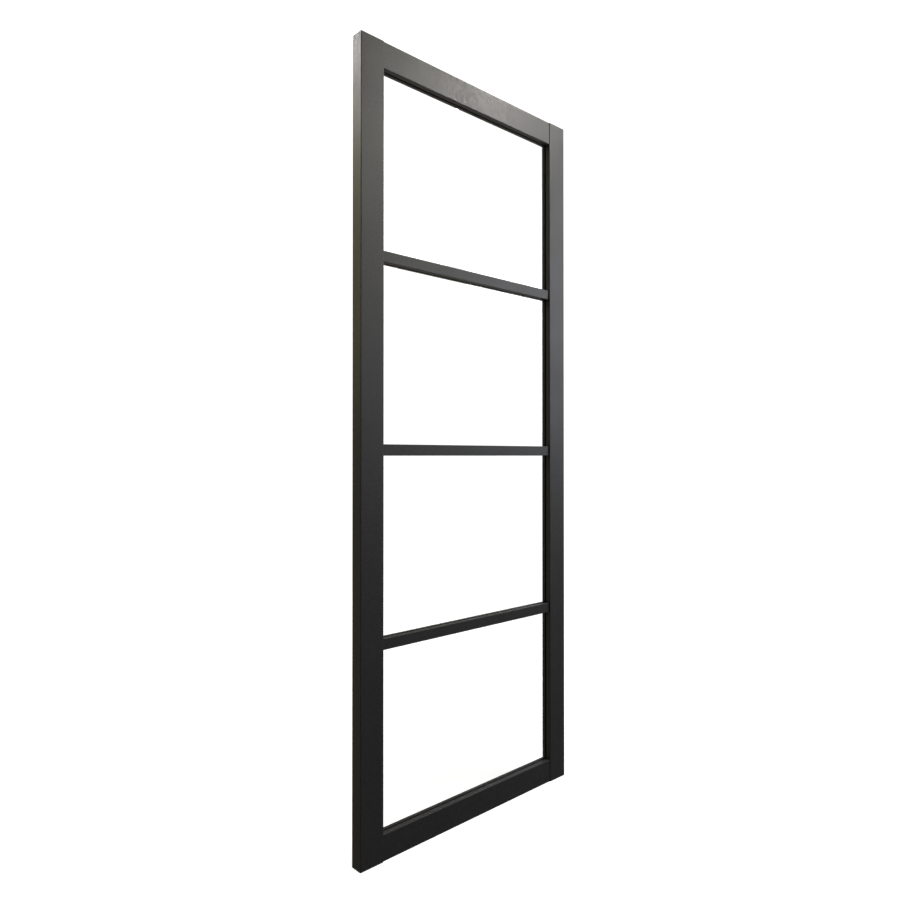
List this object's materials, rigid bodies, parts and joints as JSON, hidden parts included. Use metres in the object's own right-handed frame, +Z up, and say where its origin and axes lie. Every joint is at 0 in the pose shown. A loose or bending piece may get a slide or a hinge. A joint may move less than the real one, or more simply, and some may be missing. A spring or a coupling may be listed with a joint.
{
  "type": "glass door",
  "caption": "Upright internal door leaf with a slim black-painted timber frame, clear glass lites and horizontal glazing bars, ready to be hung on either long edge.",
  "frame": {"origin": "middle of the bottom edge, halfway through the thickness", "axes": "+X across the width to the right seen from the front, +Y through the thickness from the front face to the back face with the glazing beads, +Z up along the height"},
  "size_m": [0.762, 0.035, 1.981],
  "materials": {
    "black_painted_timber": "satin sprayed black paint over smooth timber",
    "clear_glass": "clear toughened, polished faces and ground edges",
    "glazing_tape": "black closed-cell foam",
    "beech_dowel": "bare planed beech",
    "pin_steel": "bright drawn wire",
    "setting_block": "moulded nylon"
  },
  "bodies": {
    "root": {"left_stile": "black_painted_timber", "right_stile": "black_painted_timber", "top_rail": "black_painted_timber", "bottom_rail": "black_painted_timber", "glazing_bar_1": "black_painted_timber", "glazing_bar_2": "black_painted_timber", "glazing_bar_3": "black_painted_timber", "glass_pane_1": "clear_glass", "front_tape_1": "glazing_tape", "rear_tape_1": "glazing_tape", "bottom_bead_1": "black_painted_timber", "top_bead_1": "black_painted_timber", "left_bead_1": "black_painted_timber", "right_bead_1": "black_painted_timber", "bead_pins_1": "pin_steel", "glass_pane_2": "clear_glass", "front_tape_2": "glazing_tape", "rear_tape_2": "glazing_tape", "bottom_bead_2": "black_painted_timber", "top_bead_2": "black_painted_timber", "left_bead_2": "black_painted_timber", "right_bead_2": "black_painted_timber", "bead_pins_2": "pin_steel", "glass_pane_3": "clear_glass", "front_tape_3": "glazing_tape", "rear_tape_3": "glazing_tape", "bottom_bead_3": "black_painted_timber", "top_bead_3": "black_painted_timber", "left_bead_3": "black_painted_timber", "right_bead_3": "black_painted_timber", "bead_pins_3": "pin_steel", "glass_pane_4": "clear_glass", "front_tape_4": "glazing_tape", "rear_tape_4": "glazing_tape", "bottom_bead_4": "black_painted_timber", "top_bead_4": "black_painted_timber", "left_bead_4": "black_painted_timber", "right_bead_4": "black_painted_timber", "bead_pins_4": "pin_steel", "setting_blocks": "setting_block", "rail_dowels": "beech_dowel", "bar_dowels": "beech_dowel"}
  },
  "joints": []
}
